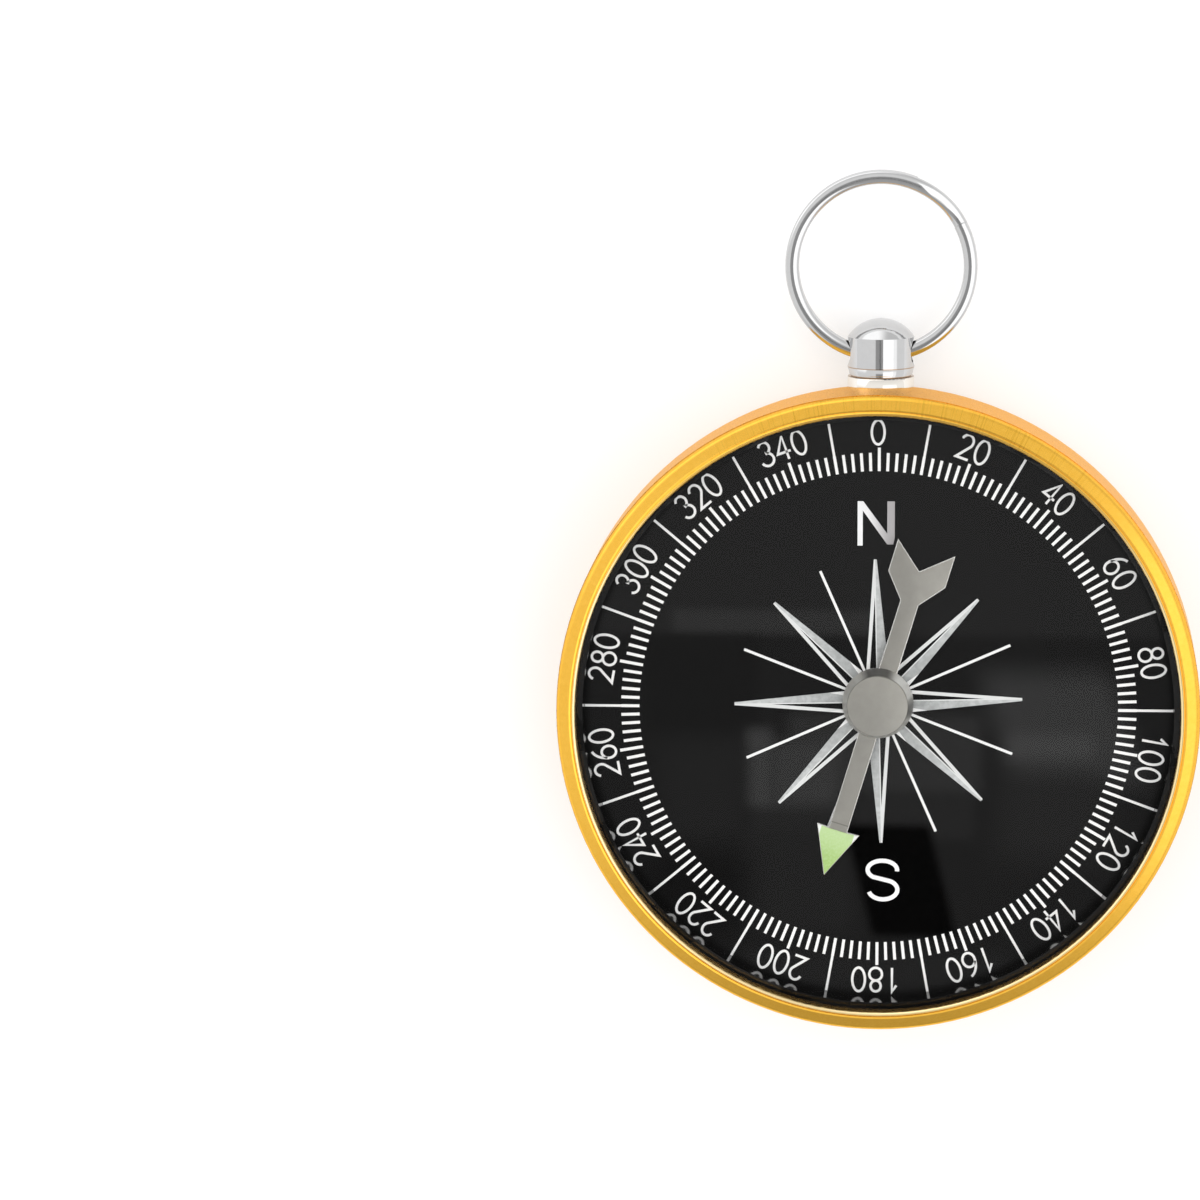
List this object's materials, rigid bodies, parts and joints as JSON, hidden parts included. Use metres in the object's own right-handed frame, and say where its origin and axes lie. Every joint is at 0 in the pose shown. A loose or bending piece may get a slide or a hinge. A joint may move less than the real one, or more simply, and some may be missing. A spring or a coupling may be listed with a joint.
{
  "type": "pocket compass",
  "caption": "Round metal pocket compass: recessed back, graduated black dial under glass, arrow needle on a pin, domed pendant knob with a split ring.",
  "frame": {"origin": "on the case's axis, in the plane of the foot ring on the back that it lies on", "axes": "+Z out through the dial, +Y from the dial's centre to the pendant (the dial's 0 mark), +X to the dial's 90 mark"},
  "size_m": [0.0436, 0.0582, 0.0097],
  "materials": {
    "case": "gold-anodised, satin",
    "bezel": "gold-anodised, turned",
    "glass": "clear, flat",
    "spacer": "black, glossy",
    "dial": "black with raised white and grey print",
    "stake": "turned",
    "pin": "hardened and ground",
    "needle": "plain sheet, bright edges",
    "hub": "turned, satin",
    "bearing": "turned cup",
    "luminous": "pale green luminous filling",
    "pendant": "polished",
    "rivet": "plain",
    "ring": "polished spring wire"
  },
  "bodies": {
    "case": {"case_shell": "case", "bezel_ring": "bezel", "crystal": "glass", "spacer_ring": "spacer", "dial_plate": "dial", "pivot_stake": "stake", "pivot_pin": "pin", "pendant_collar": "pendant", "pendant_knob": "pendant", "pendant_rivet": "rivet"},
    "needle": {"needle_blade": "needle", "needle_hub": "hub", "hub_bearing": "bearing", "luminous_head": "luminous"},
    "ring": {"split_ring": "ring"}
  },
  "joints": [
    {"name": "needle_spin", "type": "hinge", "parent": "case", "child": "needle", "pos_m": [0, 0.00045, 0.00746], "axis": [0, 0, 1], "continuous": true},
    {"name": "ring_swing", "type": "hinge", "parent": "case", "child": "ring", "pos_m": [0, 0.02406, 0.0027], "axis": [1, 0, 0], "range_deg": [-125, 105]}
  ]
}
